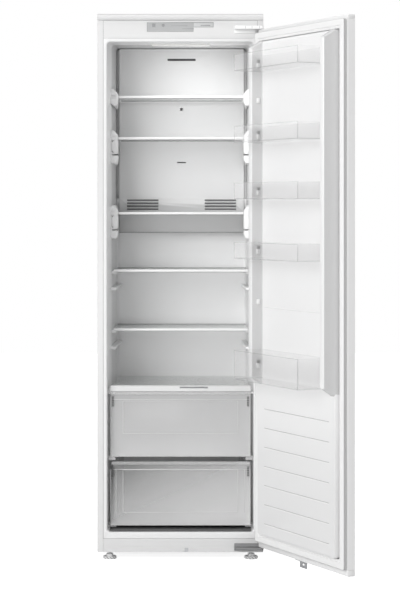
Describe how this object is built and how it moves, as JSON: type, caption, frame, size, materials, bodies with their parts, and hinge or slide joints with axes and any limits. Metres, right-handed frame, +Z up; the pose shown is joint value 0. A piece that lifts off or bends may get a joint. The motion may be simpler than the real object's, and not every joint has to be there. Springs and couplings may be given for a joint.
{
  "type": "built-in refrigerator",
  "caption": "Tall built-in larder refrigerator with a right-hung door, glass shelves, crisper drawers, door bins and a rear air duct.",
  "frame": {"origin": "centre of the cabinet base's flat underside, 26 mm above the floor that the feet stand on", "axes": "+X to the right seen from the front, +Y from the front to the back, +Z up"},
  "size_m": [0.797, 1.0031, 1.7783],
  "materials": {
    "white_steel": "satin",
    "white_plastic": "satin",
    "grey_plastic": "satin",
    "zinc_steel": "satin",
    "dark_steel": "satin",
    "black_steel": "satin",
    "foam": "matte",
    "gasket_rubber": "matte",
    "clear_plastic": "gloss",
    "shelf_glass": "gloss",
    "aluminium": "satin",
    "lamp_lens": "satin"
  },
  "bodies": {
    "cabinet": {"outer_case": "white_steel", "top_hinge": "white_steel", "base_tray": "zinc_steel", "back_panel": "zinc_steel", "insulation": "foam", "inner_liner": "white_plastic", "top_trim": "white_plastic", "control_fascia": "white_plastic", "lower_front_panel": "white_plastic", "air_duct_cover": "white_plastic", "crisper_cover_trim": "white_plastic", "drawer_runner_left": "white_plastic", "drawer_runner_right": "white_plastic", "shelf_support_1_left": "white_plastic", "shelf_support_1_right": "white_plastic", "shelf_support_2_left": "white_plastic", "shelf_support_2_right": "white_plastic", "shelf_support_3_left": "white_plastic", "shelf_support_3_right": "white_plastic", "glass_shelf_1": "shelf_glass", "shelf_trim_1": "white_plastic", "glass_shelf_2": "shelf_glass", "shelf_trim_2": "white_plastic", "glass_shelf_3": "shelf_glass", "shelf_trim_3": "white_plastic", "glass_shelf_4": "shelf_glass", "shelf_trim_4": "white_plastic", "glass_shelf_5": "shelf_glass", "shelf_trim_5": "white_plastic", "crisper_cover": "shelf_glass", "display_insert": "grey_plastic", "drip_tray": "grey_plastic", "evaporator": "aluminium", "fan_motor": "black_steel", "compressor": "black_steel", "condenser": "black_steel", "ceiling_lamp": "lamp_lens", "bottom_hinge": "dark_steel"},
    "door": {"door_panel": "white_steel", "door_foam": "foam", "door_liner": "white_plastic", "door_gasket": "gasket_rubber", "door_top_cap": "white_plastic", "door_bottom_cap": "white_plastic", "furniture_bracket_upper": "white_plastic", "furniture_bracket_lower": "white_plastic", "door_bottom_hanger": "dark_steel"},
    "upper_drawer": {"upper_drawer": "clear_plastic"},
    "lower_drawer": {"lower_drawer": "clear_plastic"},
    "door_bin_1": {"door_bin_1": "clear_plastic"},
    "door_bin_2": {"door_bin_2": "clear_plastic"},
    "door_bin_3": {"door_bin_3": "clear_plastic"},
    "door_bin_4": {"door_bin_4": "clear_plastic"},
    "bottle_bin": {"bottle_bin": "clear_plastic"},
    "evaporator_fan": {"evaporator_fan": "white_plastic"},
    "humidity_slider": {"humidity_slider": "grey_plastic"},
    "front_foot_left": {"front_foot_left": "white_plastic"},
    "front_foot_right": {"front_foot_right": "white_plastic"},
    "power_key": {"power_key": "grey_plastic"},
    "temperature_key": {"temperature_key": "grey_plastic"}
  },
  "joints": [
    {"name": "door_hinge", "type": "hinge", "parent": "cabinet", "child": "door", "pos_m": [0.262, -0.2725, 0], "axis": [0, 0, 1], "range_deg": [-117.7, 0]},
    {"name": "upper_drawer_slide", "type": "slide", "parent": "cabinet", "child": "upper_drawer", "axis": [0, -1, 0], "range_m": [0, 0.3]},
    {"name": "lower_drawer_slide", "type": "slide", "parent": "cabinet", "child": "lower_drawer", "axis": [0, -1, 0], "range_m": [0, 0.2]},
    {"name": "door_bin_1_lift", "type": "slide", "parent": "door", "child": "door_bin_1", "axis": [0, 0, 1], "range_m": [0, 0.025]},
    {"name": "door_bin_2_lift", "type": "slide", "parent": "door", "child": "door_bin_2", "axis": [0, 0, 1], "range_m": [0, 0.025]},
    {"name": "door_bin_3_lift", "type": "slide", "parent": "door", "child": "door_bin_3", "axis": [0, 0, 1], "range_m": [0, 0.025]},
    {"name": "door_bin_4_lift", "type": "slide", "parent": "door", "child": "door_bin_4", "axis": [0, 0, 1], "range_m": [0, 0.025]},
    {"name": "bottle_bin_lift", "type": "slide", "parent": "door", "child": "bottle_bin", "axis": [0, 0, 1], "range_m": [0, 0.025]},
    {"name": "fan_spin", "type": "hinge", "parent": "cabinet", "child": "evaporator_fan", "pos_m": [0, 0.1669, 1.215], "axis": [0, 1, 0], "continuous": true},
    {"name": "humidity_slide", "type": "slide", "parent": "cabinet", "child": "humidity_slider", "axis": [1, 0, 0], "range_m": [-0.08, 0]},
    {"name": "front_foot_left_turn", "type": "hinge", "parent": "cabinet", "child": "front_foot_left", "pos_m": [-0.231, -0.2205, 0], "axis": [0, 0, 1], "continuous": true},
    {"name": "front_foot_right_turn", "type": "hinge", "parent": "cabinet", "child": "front_foot_right", "pos_m": [0.231, -0.2205, 0], "axis": [0, 0, 1], "continuous": true},
    {"name": "power_key_press", "type": "slide", "parent": "cabinet", "child": "power_key", "axis": [0, 1, 0], "range_m": [0, 0.001], "stiffness_N_per_m": 300},
    {"name": "temperature_key_press", "type": "slide", "parent": "cabinet", "child": "temperature_key", "axis": [0, 1, 0], "range_m": [0, 0.001], "stiffness_N_per_m": 300}
  ]
}
